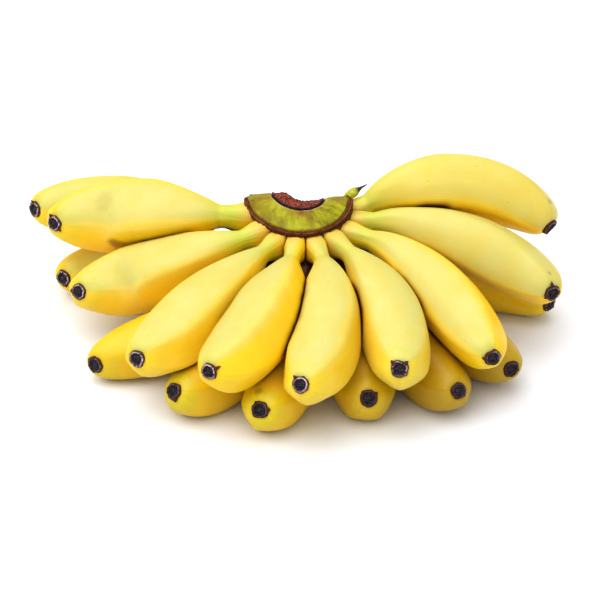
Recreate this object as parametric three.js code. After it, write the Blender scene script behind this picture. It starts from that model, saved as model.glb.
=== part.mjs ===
// A hand of small dessert bananas: one crown with two rows of fingers, cut from its stalk and laid down
// on its lower row. Millimetres, +Z up. The fan of fingers opens towards -Y, and the origin is on the
// table under the middle of the hand.
import * as THREE from "three";

// ---- Driving dimensions ----
const crownPlace = { x: 4.3, y: 40.5 }; // the axis of the stalk that the hand grew round
const ringHeight = 67; // of the bract scar over the table, at the middle of the fan
const ringRise = 4.8; // the crown tips forward, so its two ends stand this much higher
const ringRadius = 27.4; // of the crown's flank, under the bract scar
const crownLean = 3.5; // the stalk leaned over, so the crown's inner rim is higher on the -X side
const crownShift = 2.8; // and its middle lies this much to the -X side of the ring's
const crownTurns = { from: -14, to: 192 }; // fan turns between which the crown was cut from the stalk
const scarTurns = { from: -4, to: 184 }; // fan turns between which the bract scar runs
const scarMiddle = { reach: 26.2, height: 0.5 }; // of its section: from the axis, and over its foot
const scarSize = { width: 1.2, height: 1.3 }; // half of each, of its section
const fanMiddle = 90; // the fan turn of its middle
const endsPower = 4; // the crown keeps its middle outline over most of its arc: higher is longer
const stemRadius = 5.0; // of a finger's stem where it is thinnest
const stemFlare = 1.6; // the stem's root is wider than that by this much, where it joins the crown
const flareEnd = 0.1; // share of a finger's length where that flare has gone
const stemSqueeze = 0.9; // stems are narrower than they are deep, side by side on the crown
const rootSquareness = 1.2; // how much squarer than an ellipse a stem's root is, side by side with others
const squareEnd = 0.13; // share of a finger's length where that has gone
const tipRadius = 4.2; // of a finger's blunt end, which carries the dry blossom end
const restGap = 0.4; // between two fingers that press on each other, and under each root
const fullAt = 0.62; // share of a finger's length where its belly has its full girth, unless its row says it
const bellyRise = 0.55; // power of the curve from stem to belly: below 1 it makes a shoulder
const endFrom = 0.6; // share of a finger's length where it starts to close towards its blunt end
const endPower = 2.1; // of that closing curve: higher is blunter
const leaveHandle = 0.36; // of the distance from root to tip over which the line keeps the way it leaves
const arriveHandle = 0.38; // and over which it already has the way it arrives
const lookFrom = 0.4; // share of a finger's length where its sections start to turn to the way its end looks
const lookPower = 2; // how much of that turn is left for the end
const wideFace = 96; // degrees that the widest of a finger's five faces takes; the other four share the rest
const stemFacet = 0.1; // share of the five-sided shape that the round stem already has
const upperFacet = 0.58; // how far the sections of the upper row go from round to a pentagon
const lowerFacet = 0.36; // and those of the lower row, which grew in the shade of the upper one
const ridgeSoftness = 5; // degrees to each side of a ridge that are rounded off

// One finger a line. A fan turn is an angle round the crown in degrees: 0 points to +X, 90 to -Y, 180 to -X.
// root: fan turn of the stem's root on the crown and its depth under the bract scar
// leave: turn and climb of the stem as it leaves the crown
// tip: fan turn, reach from the crown's axis and height over the table of the blossom end
// aim: turn and climb of the blossom end; girth: diameter of the belly
// neck: share of the finger's length where the stem ends; full: share where the belly has its full girth
// face: angle round the finger of the middle of its widest face, 0 on top and 90 towards smaller fan turns
// facet: how far the section goes from round to a pentagon
// look: turn and climb that the blossom end faces, where its end face isn't square to the finger
const upperRow = [
  { root: [166, 4.8], leave: [168, 12], tip: [181.6, 129, 56.4], aim: [145, 12],
    girth: 40, neck: 0.14, face: 34, full: 0.52, look: [131, 12] },
  { root: [139, 6], leave: [145, 4], tip: [167, 118.3, 32.9], aim: [140, 18],
    girth: 38, neck: 0.1, face: 24, look: [124, 18] },
  { root: [117, 7.5], leave: [125, 8], tip: [130.5, 125.9, 37.8], aim: [132, 12],
    girth: 38, neck: 0.12, face: 0, look: [118, 14] },
  { root: [95.5, 7.5], leave: [99, 6], tip: [111.3, 123.9, 43.3], aim: [135, 12],
    girth: 40, neck: 0.13, face: -23, full: 0.52, look: [122, 12] },
  { root: [74.5, 8], leave: [70, 8], tip: [89.9, 124.8, 41.8], aim: [113, 24],
    girth: 38.5, neck: 0.13, face: -5, full: 0.52 },
  { root: [53, 8], leave: [48, 5], tip: [66.8, 124.5, 43.9], aim: [99, 30],
    girth: 36, neck: 0.13, face: 2, full: 0.58, facet: 0.42 },
  { root: [30, 9.5], leave: [28, 10], tip: [44.4, 134.6, 37.3], aim: [70, 4],
    girth: 35, neck: 0.12, face: -31 },
  { root: [9, 11], leave: [6, 15], tip: [17.2, 135.9, 41.1], aim: [50, -5],
    girth: 34, neck: 0.1, face: -52, look: [64, 0] },
  { root: [-9, 12], leave: [-12, 41], tip: [-2.2, 130.9, 53.6], aim: [45, -25],
    girth: 35.5, neck: 0.09, face: -48, full: 0.46 },
];
const lowerRow = [
  { root: [184, 14], leave: [182, 10], tip: [191.1, 143.9, 50.2], aim: [155, 11],
    girth: 35, neck: 0.1, face: 30, look: [142, 11] },
  { root: [156, 21], leave: [156, -28], tip: [187.4, 128, 14], aim: [140, 8],
    girth: 35.5, neck: 0.12, face: 20, look: [124, 10] },
  { root: [133, 21], leave: [133, -38], tip: [148.7, 123.3, 12.5], aim: [150, 0],
    girth: 33, neck: 0.12, face: 8, look: [122, 8] },
  { root: [110, 21], leave: [112, -32], tip: [123, 116.7, 19], aim: [135, 32],
    girth: 36, neck: 0.12, face: 15 },
  { root: [88, 21], leave: [88, -32], tip: [100, 115.8, 19], aim: [110, 32],
    girth: 36, neck: 0.12, face: 18 },
  { root: [64, 21], leave: [58, -32], tip: [71.5, 108, 18], aim: [85, 35],
    girth: 37, neck: 0.12, face: 5 },
  { root: [42, 21], leave: [38, -32], tip: [50.8, 125.7, 19], aim: [62, 28],
    girth: 35, neck: 0.12, face: -25 },
  { root: [20, 21], leave: [18, -32], tip: [34.5, 130.4, 16.5], aim: [48, 2],
    girth: 35.5, neck: 0.12, face: -35, look: [68, 5] },
  { root: [-4, 24], leave: [-20, -50], tip: [2.4, 131.7, 12], aim: [45, 0],
    girth: 30, neck: 0.2, face: -45 },
];

// ---- Buds: fingers that never filled, one on each end of the crown ----
// turn, reach, depth: of its root on the end face; straight: how far it grows straight out of that face
// way: from there to its point
const rightBud = {
  turn: crownTurns.from,
  reach: 25,
  depth: 2.6,
  straight: 2.8,
  way: new THREE.Vector3(11, 0.7, 6.4),
};
const leftBud = {
  turn: crownTurns.to,
  reach: 25,
  depth: 4,
  straight: 4,
  way: new THREE.Vector3(-6, 0, -1),
};
// [share of the bud's length, radius]
const budSections = [
  [0, 1.9],
  [0.25, 2],
  [0.5, 2.3],
  [0.72, 2.1],
  [0.8, 1.4],
  [0.92, 0.75],
  [1, 0.25],
];

// ---- Fineness of the mesh ----
const stations = 22; // rings along a finger
const crowding = 0.6; // how far those rings are drawn towards the finger's two ends: 0 not at all, 1 fully
const faceSteps = 3; // steps across each of a finger's five faces
const lineSteps = 40; // steps along a finger's middle line where another finger is felt for
const nearBy = 2.6; // a neighbour is felt for where its middle line is closer than this many of its radii
const budSides = 8; // corners round a bud
const blossomSides = 10; // corners round a blossom end
const scarSides = 8; // corners round the bract scar's section
const sweepSteps = { crown: 44, cut: 28, scar: 40 }; // steps round the crown's axis
const halvings = 12; // tries to find how far a corner is drawn back from a neighbour

const radians = THREE.MathUtils.degToRad;
const crownAxis = new THREE.Vector3(crownPlace.x, crownPlace.y, 0);

// ---- Colours ----
const peel = new THREE.MeshStandardMaterial({ color: "#f2d637", roughness: 0.45 });
const crownGreen = new THREE.MeshStandardMaterial({ color: "#b4b83e", roughness: 0.6 });
const cork = new THREE.MeshStandardMaterial({ color: "#6b3a26", roughness: 0.8 });
const cutFlesh = new THREE.MeshStandardMaterial({ color: "#7a2f28", roughness: 0.85 });
const budGreen = new THREE.MeshStandardMaterial({ color: "#7f8f2c", roughness: 0.6 });
const dryBlossom = new THREE.MeshStandardMaterial({ color: "#3b2a30", roughness: 0.85 });

// The direction that a fan turn and a climb point to.
function heading(turn, climb = 0) {
  const level = Math.cos(radians(climb));
  return new THREE.Vector3(
    level * Math.cos(radians(turn)),
    -level * Math.sin(radians(turn)),
    Math.sin(radians(climb)),
  );
}

// Height of the bract scar at a fan turn: lowest at the middle of the fan, and rising to its two ends.
function scarHeight(turn) {
  return ringHeight + ringRise * (1 - Math.sin(radians(turn)));
}

// ---- Fingers ----

// A smooth step from 0 to 1 while x goes from a to b.
const ease = THREE.MathUtils.smoothstep;

// Radius of a finger at a share of its length from the crown: flared root, thin stem, a shoulder, a full
// belly and a blunt end.
function fingerRadius(share, spec) {
  const stem = stemRadius + stemFlare * (1 - ease(share, 0, flareEnd));
  const belly = stem + (spec.girth / 2 - stem) * ease(share, spec.neck, spec.full ?? fullAt) ** bellyRise;
  const end = Math.max(0, (share - endFrom) / (1 - endFrom));
  const closing = Math.sqrt(Math.max(0, 1 - end ** endPower));
  return tipRadius + (belly - tipRadius) * closing;
}

// The corners of a finger's section, from a ridge on one side of the wide face all the way round.
// even: angle on a section with five equal faces, 0 at the middle of the wide one
// angle: the same corner on the real section, where the wide face takes more than its fifth
function sectionCorners() {
  const half = 180 / 5;
  return Array.from({ length: 5 * faceSteps }, (_, k) => {
    const even = -half + (2 * half * k) / faceSteps;
    const past = even > 180 ? 360 - even : Math.abs(even);
    const spread =
      past <= half
        ? (past * wideFace) / 2 / half
        : wideFace / 2 + ((past - half) * (180 - wideFace / 2)) / (180 - half);
    return { even: radians(even), angle: radians(even < 0 || even > 180 ? -spread : spread) };
  });
}

// The soft five-sided section of a finger: the share of its radius at an even angle.
function fiveSided(even, share, facet) {
  const half = Math.PI / 5;
  const fromRidge = Math.abs(THREE.MathUtils.euclideanModulo(even, 2 * half) - half);
  const softness = radians(ridgeSoftness);
  const away = Math.hypot(fromRidge, softness) - softness;
  const pentagon = Math.cos(half) / Math.cos(half - away);
  const belly = stemFacet + (1 - stemFacet) * ease(share, 0.08, 0.32);
  const bluntEnd = 1 - 0.45 * ease(share, 0.93, 1);
  return 1 - facet * belly * bluntEnd * (1 - pentagon);
}

// The squarish section of a stem's root, side by side with its neighbours, which turns round further out.
function squarish(angle, share) {
  const power = 2 + rootSquareness * (1 - ease(share, 0, squareEnd));
  return (Math.abs(Math.cos(angle)) ** power + Math.abs(Math.sin(angle)) ** power) ** (-1 / power);
}

// A finger's middle line, from its root on the crown's flank to its blossom end.
function middleLine(spec) {
  const [rootTurn, depth] = spec.root;
  const start = crownAxis.clone().addScaledVector(heading(rootTurn), ringRadius + restGap);
  start.z = scarHeight(rootTurn) - depth;
  const [turn, reach, height] = spec.tip;
  const end = crownAxis.clone().addScaledVector(heading(turn), reach);
  end.z = height;
  const chord = start.distanceTo(end);
  const leave = start.clone().addScaledVector(heading(...spec.leave), leaveHandle * chord);
  const arrive = end.clone().addScaledVector(heading(...spec.aim), -arriveHandle * chord);
  return new THREE.CubicBezierCurve3(start, leave, arrive, end);
}

// Stations are closer together where the radius changes fast, at the stem and at the blunt end.
function stationShare(i) {
  const even = i / (stations - 1);
  const crowded = 0.5 - 0.5 * Math.cos(Math.PI * even);
  return THREE.MathUtils.lerp(even, crowded, crowding);
}

function makeFinger(name, spec) {
  const line = middleLine(spec);
  const felt = [];
  for (let i = 0; i <= lineSteps; i++) {
    felt.push({ at: line.getPointAt(i / lineSteps), radius: fingerRadius(i / lineSteps, spec) });
  }
  const rings = [];
  const middles = [];
  for (let i = 0; i < stations; i++) {
    const share = stationShare(i);
    const middle = line.getPointAt(share);
    const along = line.getTangentAt(share);
    const turned = Math.max(0, (share - lookFrom) / (1 - lookFrom)) ** lookPower;
    if (spec.look) along.lerp(heading(...spec.look), turned).normalize();
    const side = new THREE.Vector3(0, 0, 1).cross(along).normalize();
    const top = along.clone().cross(side);
    const squeeze = THREE.MathUtils.lerp(stemSqueeze, 1, ease(share, 0.1, 0.35));
    const ring = sectionCorners().map((corner) => {
      const angle = corner.angle + radians(spec.face);
      const faceted = fiveSided(corner.even, share, spec.facet);
      const radius = fingerRadius(share, spec) * faceted * squarish(angle, share);
      return middle
        .clone()
        .addScaledVector(top, (radius * Math.cos(angle)) / squeeze)
        .addScaledVector(side, radius * Math.sin(angle) * squeeze);
    });
    rings.push(ring);
    middles.push(middle);
  }
  return { name, spec, line, felt, rings, middles };
}

// How far a point is from a finger's middle line, with the finger's radius at that place.
function feel(point, finger) {
  let best = { share: Infinity };
  for (let i = 0; i < lineSteps; i++) {
    const a = finger.felt[i];
    const b = finger.felt[i + 1];
    const step = b.at.clone().sub(a.at);
    const t = THREE.MathUtils.clamp(point.clone().sub(a.at).dot(step) / step.lengthSq(), 0, 1);
    const radius = a.radius + (b.radius - a.radius) * t;
    const away = a.at.clone().addScaledVector(step, t).distanceTo(point);
    if (away / radius < best.share) best = { share: away / radius, radius };
  }
  return best;
}

// Room between a point and the face where two fingers press on each other: above 0 on the first one's side.
function roomAt(point, own, other) {
  const mine = feel(point, own);
  const theirs = feel(point, other);
  return ((theirs.share - mine.share) * mine.radius * theirs.radius) / (mine.radius + theirs.radius);
}

// Slides the root ring along the stem onto the crown's flank, a gap short of it.
function seatRoot(finger) {
  const [root, next] = finger.rings;
  root.forEach((corner, j) => {
    const from = next[j].clone().sub(crownAxis);
    const step = corner.clone().sub(next[j]);
    const a = step.x ** 2 + step.y ** 2;
    const b = 2 * (from.x * step.x + from.y * step.y);
    const c = from.x ** 2 + from.y ** 2 - (ringRadius + restGap) ** 2;
    const reach = (-b - Math.sqrt(b * b - 4 * a * c)) / (2 * a);
    corner.copy(next[j].clone().addScaledVector(step, reach));
  });
}

// The place on the crown's flank, a gap short of it, at the same height and fan turn as a point.
function onFlank(point) {
  const place = point.clone().sub(crownAxis).setZ(0).setLength(ringRadius + restGap);
  return place.add(crownAxis).setZ(point.z);
}

// Flattens each finger where it presses on a neighbour: a corner inside the neighbour is drawn back
// towards its own middle line until it is half a gap short of the face between them.
function pressTogether(fingers) {
  for (const own of fingers) {
    for (const other of fingers) {
      if (own === other) continue;
      own.rings.forEach((ring, i) => {
        if (feel(own.middles[i], other).share > nearBy) return;
        ring.forEach((corner) => {
          const drawnBack = (share) => {
            const place = own.middles[i].clone().lerp(corner, share);
            return i === 0 ? onFlank(place) : place;
          };
          if (roomAt(corner, own, other) >= restGap / 2) return;
          let inside = 0;
          let outside = 1;
          for (let k = 0; k < halvings; k++) {
            const half = (inside + outside) / 2;
            if (roomAt(drawnBack(half), own, other) >= restGap / 2) inside = half;
            else outside = half;
          }
          corner.copy(drawnBack(inside));
        });
      });
    }
  }
}

function middleOf(ring) {
  return ring.reduce((sum, corner) => sum.add(corner), new THREE.Vector3()).divideScalar(ring.length);
}

// A closed skin over rings of corners, with a fan of triangles from a middle point over each end.
function skin(rings, first = middleOf(rings[0]), last = middleOf(rings[rings.length - 1])) {
  const count = rings[0].length;
  const points = [...rings.flat(), first, last];
  const faces = [];
  for (let i = 0; i + 1 < rings.length; i++) {
    for (let j = 0; j < count; j++) {
      const [a, b] = [i * count + j, i * count + ((j + 1) % count)];
      faces.push(a, b + count, b, a, a + count, b + count);
    }
  }
  const start = (rings.length - 1) * count;
  for (let j = 0; j < count; j++) {
    const next = (j + 1) % count;
    faces.push(points.length - 2, j, next, points.length - 1, start + next, start + j);
  }
  return new THREE.BufferGeometry().setFromPoints(points).setIndex(faces);
}

// ---- Blossom ends ----

// [radius, height over the finger's end]: a foot, an outer wall, a lip and a pit
const blossomOutline = [
  [0, 0],
  [3.6, 0],
  [4.0, 0.9],
  [3.5, 2.0],
  [2.5, 2.2],
  [1.6, 1.1],
  [0, 0.9],
];

// The dry, corky stub of the flower on a finger's end: a low ring round a pit.
function blossomEnd(finger) {
  const profile = blossomOutline.map(([radius, height]) => new THREE.Vector2(radius, height));
  const stub = new THREE.Mesh(new THREE.LatheGeometry(profile, blossomSides), dryBlossom);
  stub.name = finger.name.replace("finger", "blossom_end");
  const aim = heading(...(finger.spec.look ?? finger.spec.aim));
  stub.quaternion.setFromUnitVectors(new THREE.Vector3(0, 1, 0), aim);
  stub.position.copy(finger.line.getPoint(1)).addScaledVector(aim, restGap);
  return stub;
}

// ---- Crown ----

// Sweeps an outline of [radius, height over the bract scar] round the crown's axis. The outline changes
// from the one at the middle of the fan to the one at its two ends.
function sweepRound(turns, steps, middle, ends = middle) {
  const rings = [];
  for (let i = 0; i <= steps; i++) {
    const turn = turns.from + ((turns.to - turns.from) * i) / steps;
    const away = ((turn - fanMiddle) / (crownTurns.to - fanMiddle)) ** endsPower;
    rings.push(
      middle.map(([radius, height], k) => {
        const reach = THREE.MathUtils.lerp(radius, ends[k][0], away);
        const corner = crownAxis.clone().addScaledVector(heading(turn), reach);
        const tipping = ringRise * (1 - (Math.sin(radians(turn)) * reach) / ringRadius);
        const lean = -crownLean * Math.cos(radians(turn)) * (1 - reach / ringRadius);
        corner.x -= crownShift * (1 - reach / ringRadius);
        corner.z = ringHeight + tipping + lean + THREE.MathUtils.lerp(height, ends[k][1], away);
        return corner;
      }),
    );
  }
  return skin(rings);
}

// A finger that never filled: a small bud on an end of the crown, that tapers to a dry point. It grows
// straight out of the end face for a little way, and then bends.
function bud({ turn, reach, depth, straight, way }) {
  const face = crownAxis.clone().addScaledVector(heading(turn), reach);
  face.z = scarHeight(turn) - depth;
  const out = heading(turn < fanMiddle ? turn - 90 : turn + 90);
  const start = face.clone().addScaledVector(out, restGap);
  const bend = start.clone().addScaledVector(out, straight);
  const line = new THREE.QuadraticBezierCurve3(start, bend, bend.clone().add(way));
  const rings = budSections.map(([share, radius]) => {
    const middle = line.getPointAt(share);
    const along = line.getTangentAt(share);
    const side = new THREE.Vector3(0, 0, 1).cross(along).normalize();
    const top = along.clone().cross(side);
    return Array.from({ length: budSides }, (_, j) => {
      const angle = (2 * Math.PI * j) / budSides;
      return middle
        .clone()
        .addScaledVector(top, radius * Math.cos(angle))
        .addScaledVector(side, radius * Math.sin(angle));
    });
  });
  return skin(rings);
}

function crownNodes() {
  const cushionMiddle = [
    [13.9, 6.0],
    [19.2, 5.0],
    [24.6, 1.9],
    [24.6, -0.9],
    [27.4, -1.8],
    [27.4, -24],
    [22, -29],
    [16, -28],
    [13.9, -22],
  ];
  const cushionEnds = [
    [13.9, 1.3],
    [19.2, 0.8],
    [24.6, -0.6],
    [24.6, -1.0],
    [27.4, -1.8],
    [27.4, -22],
    [22, -25],
    [16, -24],
    [13.9, -20],
  ];
  const cutMiddle = [
    [13.6, 6.3],
    [13.6, -21],
    [8.4, -20],
    [6.0, -6],
    [6.0, 5.3],
  ];
  const cutEnds = [
    [13.6, 1.6],
    [13.6, -19],
    [12.7, -18],
    [12.4, -6],
    [12.6, 1.2],
  ];
  const scar = [];
  for (let i = 0; i < scarSides; i++) {
    const angle = (-2 * Math.PI * i) / scarSides;
    const reach = scarMiddle.reach + scarSize.width * Math.cos(angle);
    scar.push([reach, scarMiddle.height + scarSize.height * Math.sin(angle)]);
  }
  return [
    ["crown", sweepRound(crownTurns, sweepSteps.crown, cushionMiddle, cushionEnds), crownGreen],
    ["stalk_cut", sweepRound(crownTurns, sweepSteps.cut, cutMiddle, cutEnds), cutFlesh],
    ["bract_scar", sweepRound(scarTurns, sweepSteps.scar, scar), cork],
    ["aborted_finger_right", bud(rightBud), budGreen],
    ["aborted_finger_left", bud(leftBud), budGreen],
  ].map(([name, shape, material]) => {
    const mesh = new THREE.Mesh(shape, material);
    mesh.name = name;
    return mesh;
  });
}

// ---- The hand ----
const fingers = [
  ...upperRow.map((spec, i) => makeFinger(`finger_upper_${i + 1}`, { facet: upperFacet, ...spec })),
  ...lowerRow.map((spec, i) => makeFinger(`finger_lower_${i + 1}`, { facet: lowerFacet, ...spec })),
];
fingers.forEach(seatRoot);
pressTogether(fingers);

const hand = new THREE.Group();
for (const finger of fingers) {
  for (const corner of finger.rings.flat()) corner.z = Math.max(corner.z, 0);
  const seat = onFlank(middleOf(finger.rings[0]));
  const mesh = new THREE.Mesh(skin(finger.rings, seat), peel);
  mesh.name = finger.name;
  hand.add(mesh, blossomEnd(finger));
}
hand.add(...crownNodes());

export default hand;
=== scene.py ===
# A hand of small dessert bananas lying on its lower row: peel, crown, bract scar, cut and blossom ends.
# Sizes in the dictionaries are in millimetres and angles in degrees. Meshes are made in metres.
import math
import bpy
import numpy as np
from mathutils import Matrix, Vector, noise


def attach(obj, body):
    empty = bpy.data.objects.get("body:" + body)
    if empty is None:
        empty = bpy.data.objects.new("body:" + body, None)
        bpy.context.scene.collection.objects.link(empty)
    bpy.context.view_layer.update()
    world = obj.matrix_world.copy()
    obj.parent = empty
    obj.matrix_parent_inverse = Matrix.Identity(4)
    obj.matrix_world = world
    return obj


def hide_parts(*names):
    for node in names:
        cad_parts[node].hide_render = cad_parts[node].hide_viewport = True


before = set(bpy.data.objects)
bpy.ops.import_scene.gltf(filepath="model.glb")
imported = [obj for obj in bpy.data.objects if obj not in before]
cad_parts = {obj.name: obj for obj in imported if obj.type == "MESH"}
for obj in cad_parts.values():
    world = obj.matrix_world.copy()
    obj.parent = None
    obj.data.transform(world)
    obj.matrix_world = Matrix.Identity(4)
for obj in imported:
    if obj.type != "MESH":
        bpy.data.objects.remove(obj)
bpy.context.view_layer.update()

mm = 0.001

camera = {
    "target": (4.0, -42.1, 64.0),
    "distance": 1500, "elevation": 33, "lens": 180, "sensor": 36,
}

cameraData = bpy.data.cameras.new("camera")
cameraData.lens = camera["lens"]
cameraData.sensor_width = camera["sensor"]
cameraObject = bpy.data.objects.new("camera", cameraData)
bpy.context.collection.objects.link(cameraObject)
tilt = math.radians(camera["elevation"])
back = Vector((0, -math.cos(tilt), math.sin(tilt)))
cameraObject.location = (Vector(camera["target"]) + back * camera["distance"]) * mm
cameraObject.rotation_euler = (math.radians(90 - camera["elevation"]), 0, 0)
bpy.context.scene.camera = cameraObject
print("camera set")


def colour(hexCode):
    # sRGB hex to the linear colour that the shaders use
    parts = [int(hexCode[i:i + 2], 16) / 255 for i in (1, 3, 5)]
    return tuple(c / 12.92 if c < 0.04045 else ((c + 0.055) / 1.055) ** 2.4 for c in parts) + (1.0,)


def newMaterial(name):
    material = bpy.data.materials.new(name)
    material.use_nodes = True
    material.node_tree.nodes.clear()
    return material


def addNode(material, kind, inputs=None, stops=None, **settings):
    # inputs: socket name or number -> a value, or the output of another node; stops: of a colour ramp
    node = material.node_tree.nodes.new(kind)
    for key, value in settings.items():
        setattr(node, key, value)
    for key, value in (inputs or {}).items():
        if isinstance(value, bpy.types.NodeSocket):
            material.node_tree.links.new(value, node.inputs[key])
        else:
            node.inputs[key].default_value = value
    if stops:
        ramp = node.color_ramp.elements
        while len(ramp) < len(stops):
            ramp.new(0.5)
        for element, (place, value) in zip(ramp, stops):
            element.position = place
            element.color = colour(value) if isinstance(value, str) else (value, value, value, 1)
    return node


def smoothStep(x, low, high):
    t = np.clip((x - low) / (high - low), 0, 1)
    return t * t * (3 - 2 * t)


def mix(a, b, share):
    return a + (b - a) * share


def hump(x, middle, width):
    return np.exp(-((x - middle) / width) ** 2)


def ripple(points, size, seed=0):
    # smooth noise from -1 to 1 at each point, with bumps about one size wide
    offset = Vector((seed * 17.3, seed * 5.1, seed * 9.7))
    flat = np.asarray(points, float).reshape(-1, 3) / size
    values = [noise.noise(Vector(point) + offset) for point in flat]
    return np.array(values).reshape(np.shape(points)[:-1])


def makePiece(name, rings, material, replaced=(), attributes=None, ends=None):
    # a closed smooth skin over rings of points, with a fan of triangles over each end
    rings = np.asarray(rings, float)
    count, sides = rings.shape[:2]
    first, last = ends if ends is not None else (rings[0].mean(axis=0), rings[-1].mean(axis=0))
    points = np.vstack([rings.reshape(-1, 3), [first, last]]) * mm
    faces = []
    for i in range(count - 1):
        for j in range(sides):
            a, b = i * sides + j, i * sides + (j + 1) % sides
            faces.append((a, a + sides, b + sides, b))
    top = (count - 1) * sides
    for j in range(sides):
        after = (j + 1) % sides
        faces.append((count * sides, j, after))
        faces.append((count * sides + 1, top + after, top + j))
    mesh = bpy.data.meshes.new(name)
    mesh.from_pydata(points.tolist(), [], faces)
    for key, values in (attributes or {}).items():
        values = np.asarray(values, float)
        width = values.shape[2] if values.ndim == 3 else 1
        table = values.reshape(count * sides, width)
        table = np.vstack([table, table[:sides].mean(axis=0), table[-sides:].mean(axis=0)])
        if width == 3:
            mesh.attributes.new(key, "FLOAT_VECTOR", "POINT").data.foreach_set("vector", table.ravel())
        else:
            mesh.attributes.new(key, "FLOAT", "POINT").data.foreach_set("value", table.ravel())
    mesh.polygons.foreach_set("use_smooth", [True] * len(mesh.polygons))
    mesh.materials.append(material)
    mesh.update()
    piece = bpy.data.objects.new(name, mesh)
    bpy.context.collection.objects.link(piece)
    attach(piece, "root")
    if replaced:
        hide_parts(*replaced)
    return piece


# the same hand as the solids: the stalk it grew round, and its ring of stems
hand = {
    "axis": (4.3, 40.5),                 # of the stalk
    "ringHeight": 67, "ringRise": 4.8,   # of the bract scar, which is higher at its two ends
    "ringRadius": 27.4,
    "lean": 3.5, "shift": 2.8,           # the stalk leaned, and its middle is off the ring's
    "crownTurns": (-14, 192), "scarTurns": (-4, 184),
    "swelling": 2.2, "swollenTurns": (120, 185),     # the crown's -X end has grown outwards
    "stem": 5.0, "tip": 4.2,             # radii of a stem and of the end that carries the dry blossom
    "flare": 1.6, "squeeze": 0.9,        # a stem widens to its root, and is narrower than it is high
    "gap": 0.4,                          # between two fingers that press on each other
}
axis = np.array([*hand["axis"], 0.0])

# A fan turn is an angle round the crown: 0 points to +X, 90 to -Y and 180 to -X.
# root: fan turn of the stem's root and its depth under the bract scar; leave: turn and climb of the stem
# tip: fan turn, reach and height of the blossom end; aim: its turn and climb; look: where its face points
# girth: of the belly; neck, full: shares of the length where the stem ends and where the girth is reached
# stem: its radius; face: where the middle of the widest of the five faces lies, 0 on top; facet: see peel
# green, tipGreen: of the stem and of the blossom end; litLemon: a shift of the tint that paints light
# paintedShadeTone: brightness, lower where shade is painted on; paintedLight: where the painted light comes
# from
# pale: how pale the lip of its blossom end is; on the lower row it is lower, partly as painted shade
# marks: share of the length, angle from the top, radius and depth of each bruise
upperRow = [
    dict(root=(166, 4.8), leave=(168, 12), tip=(181.6, 129, 56.4), aim=(145, 12), look=(131, 12),
         girth=40, neck=0.14, full=0.52, stem=5.7, face=34, green=0.85, pale=1,
         marks=[(0.75, 27, 6.5, 0.13), (0.69, 112, 5, 0.7), (0.65, 115, 4.5, 0.6)]),
    dict(root=(139, 6), leave=(145, 4), tip=(167, 118.3, 32.9), aim=(140, 18), look=(124, 18),
         girth=38, neck=0.1, face=24, green=0.8, litLemon=0.15, pale=0.8),
    dict(root=(117, 7.5), leave=(125, 8), tip=(130.5, 125.9, 37.8), aim=(132, 12), look=(118, 14),
         girth=38, neck=0.12, face=0, green=0.55, litLemon=0.1, pale=1),
    dict(root=(95.5, 7.5), leave=(99, 6), tip=(111.3, 123.9, 43.3), aim=(135, 12), look=(122, 12),
         girth=40, neck=0.13, full=0.52, face=-23, green=0.3, pale=1),
    dict(root=(74.5, 8), leave=(70, 8), tip=(89.9, 124.8, 41.8), aim=(113, 24),
         girth=38.5, neck=0.13, full=0.52, face=-5, green=0.3, litLemon=0.2, pale=1),
    dict(root=(53, 8), leave=(48, 5), tip=(66.8, 124.5, 43.9), aim=(99, 30),
         girth=36, neck=0.13, full=0.58, face=2, facet=0.42, green=0.35, litLemon=0.35, pale=0.6),
    dict(root=(30, 9.5), leave=(28, 10), tip=(44.4, 134.6, 37.3), aim=(70, 4),
         girth=35, neck=0.12, face=-31, green=0.5, paintedLight=(-0.1, -0.32, 0.94), pale=0.5),
    dict(root=(9, 11), leave=(6, 15), tip=(17.2, 135.9, 41.1), aim=(50, -5), look=(64, 0),
         girth=34, neck=0.1, face=-52, green=0.6, tipGreen=0, litLemon=0.1, paintedLight=(-0.05, -0.3, 0.95), pale=0.35,
         marks=[(0.958, 9, 1.3, 0.4)]),
    dict(root=(-9, 12), leave=(-12, 41), tip=(-2.2, 130.9, 53.6), aim=(45, -25),
         girth=35.5, neck=0.09, full=0.46, face=-48, green=0.5, tipGreen=0, litLemon=-0.22,
         paintedLight=(0.03, -0.2, 0.97), pale=0.4, marks=[(0.93, 14, 1.7, 0.9)]),
]
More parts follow.
